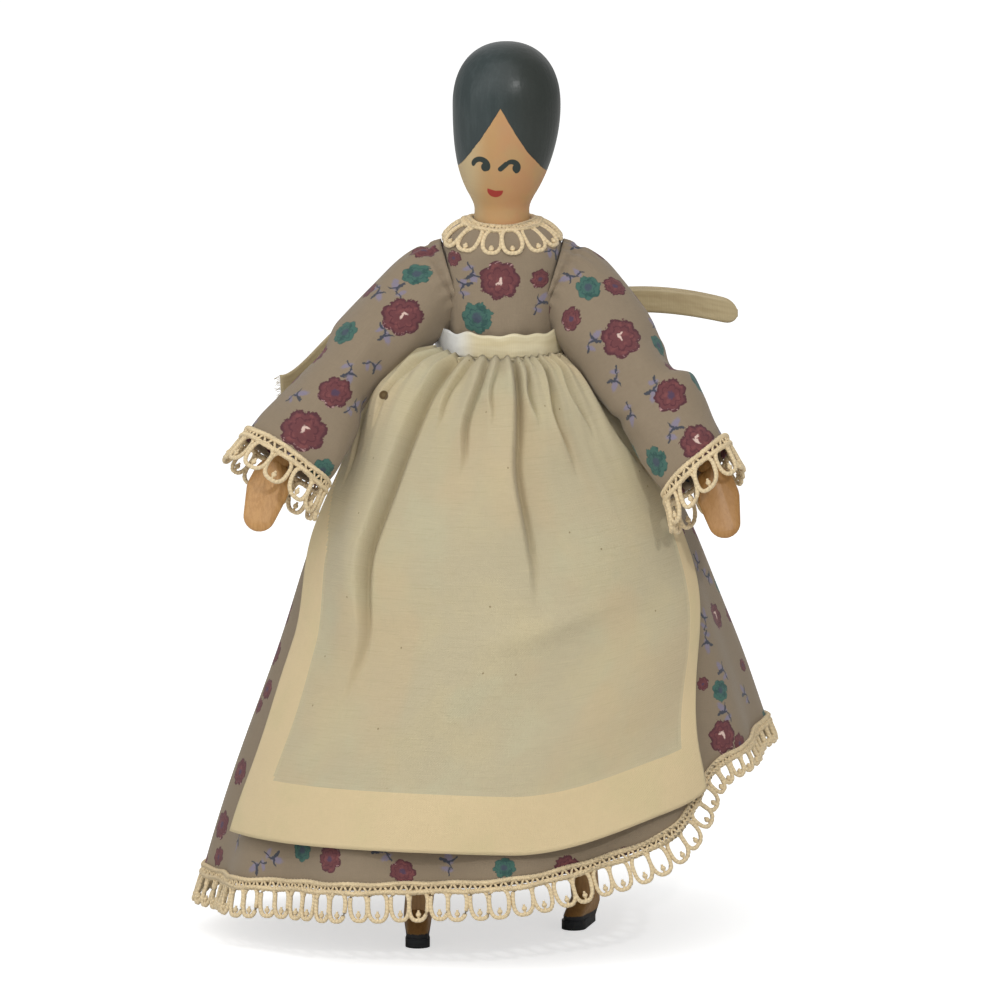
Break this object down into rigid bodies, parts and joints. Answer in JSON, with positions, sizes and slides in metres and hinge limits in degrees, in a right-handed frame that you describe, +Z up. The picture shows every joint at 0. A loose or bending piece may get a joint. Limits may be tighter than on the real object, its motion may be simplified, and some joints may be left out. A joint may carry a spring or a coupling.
{
  "type": "dressed peg wooden doll",
  "caption": "Standing peg wooden doll with painted hair and face, jointed arms and legs, floral dress with long sleeves, gathered apron with satin ribbon, and lace trim.",
  "frame": {"origin": "on the floor, under the middle of the whole object's box", "axes": "+Z up from the feet to the top of the head; -Y the way the doll's face and apron look; +X towards the doll's own left hand"},
  "size_m": [0.1525, 0.1182, 0.2352],
  "materials": {
    "turned_wood": "satin varnish, with painted slate-black hair and a small painted face",
    "limb_wood": "satin varnish, with shoes painted black",
    "peg_wood": "plain turned wood",
    "calico": "matt taupe cotton printed with small burgundy and teal flowers",
    "lace": "ivory cotton lace with picot loops",
    "apron_cotton": "matt unbleached cotton",
    "satin_ribbon": "cream satin"
  },
  "bodies": {
    "doll": {"head_and_torso": "turned_wood", "shoulder_peg": "peg_wood", "hip_peg": "peg_wood", "bodice": "calico", "skirt": "calico", "collar_lace": "lace", "hem_lace": "lace", "apron_panel": "apron_cotton", "apron_ribbon": "satin_ribbon", "ribbon_knot": "satin_ribbon", "right_ribbon_loop": "satin_ribbon", "left_ribbon_loop": "satin_ribbon", "right_ribbon_tail": "satin_ribbon", "left_ribbon_tail": "satin_ribbon"},
    "right_upper_arm": {"right_upper_arm": "limb_wood", "right_elbow_peg": "peg_wood", "right_upper_sleeve": "calico"},
    "right_forearm": {"right_forearm": "limb_wood", "right_lower_sleeve": "calico", "right_cuff_lace": "lace"},
    "right_thigh": {"right_thigh": "limb_wood", "right_knee_peg": "peg_wood"},
    "right_lower_leg": {"right_lower_leg": "limb_wood"},
    "left_upper_arm": {"left_upper_arm": "limb_wood", "left_elbow_peg": "peg_wood", "left_upper_sleeve": "calico"},
    "left_forearm": {"left_forearm": "limb_wood", "left_lower_sleeve": "calico", "left_cuff_lace": "lace"},
    "left_thigh": {"left_thigh": "limb_wood", "left_knee_peg": "peg_wood"},
    "left_lower_leg": {"left_lower_leg": "limb_wood"}
  },
  "joints": [
    {"name": "right_shoulder", "type": "hinge", "parent": "doll", "child": "right_upper_arm", "pos_m": [-0.0111, 0, 0.174], "axis": [-1, 0, 0], "range_deg": [-5, 120]},
    {"name": "right_elbow", "type": "hinge", "parent": "right_upper_arm", "child": "right_forearm", "pos_m": [-0.03578, -0.01221, 0.14781], "axis": [-0.7604, 0.2745, 0.5886], "range_deg": [0, 50]},
    {"name": "right_hip", "type": "hinge", "parent": "doll", "child": "right_thigh", "pos_m": [-0.0075, 0, 0.13], "axis": [-1, 0, 0], "range_deg": [-22, 12]},
    {"name": "right_knee", "type": "hinge", "parent": "right_thigh", "child": "right_lower_leg", "pos_m": [-0.01294, -0.00542, 0.068], "axis": [0.9962, -0.0076, -0.0868], "range_deg": [0, 30]},
    {"name": "left_shoulder", "type": "hinge", "parent": "doll", "child": "left_upper_arm", "pos_m": [0.0181, 0, 0.174], "axis": [-1, 0, 0], "range_deg": [-2, 120]},
    {"name": "left_elbow", "type": "hinge", "parent": "left_upper_arm", "child": "left_forearm", "pos_m": [0.04044, -0.01537, 0.14738], "axis": [-0.809, -0.2939, -0.509], "range_deg": [0, 50]},
    {"name": "left_hip", "type": "hinge", "parent": "doll", "child": "left_thigh", "pos_m": [0.0145, 0, 0.13], "axis": [-1, 0, 0], "range_deg": [-14, 22]},
    {"name": "left_knee", "type": "hinge", "parent": "left_thigh", "child": "left_lower_leg", "pos_m": [0.01995, 0.00542, 0.068], "axis": [0.9962, -0.0076, 0.0868], "range_deg": [0, 20]}
  ]
}
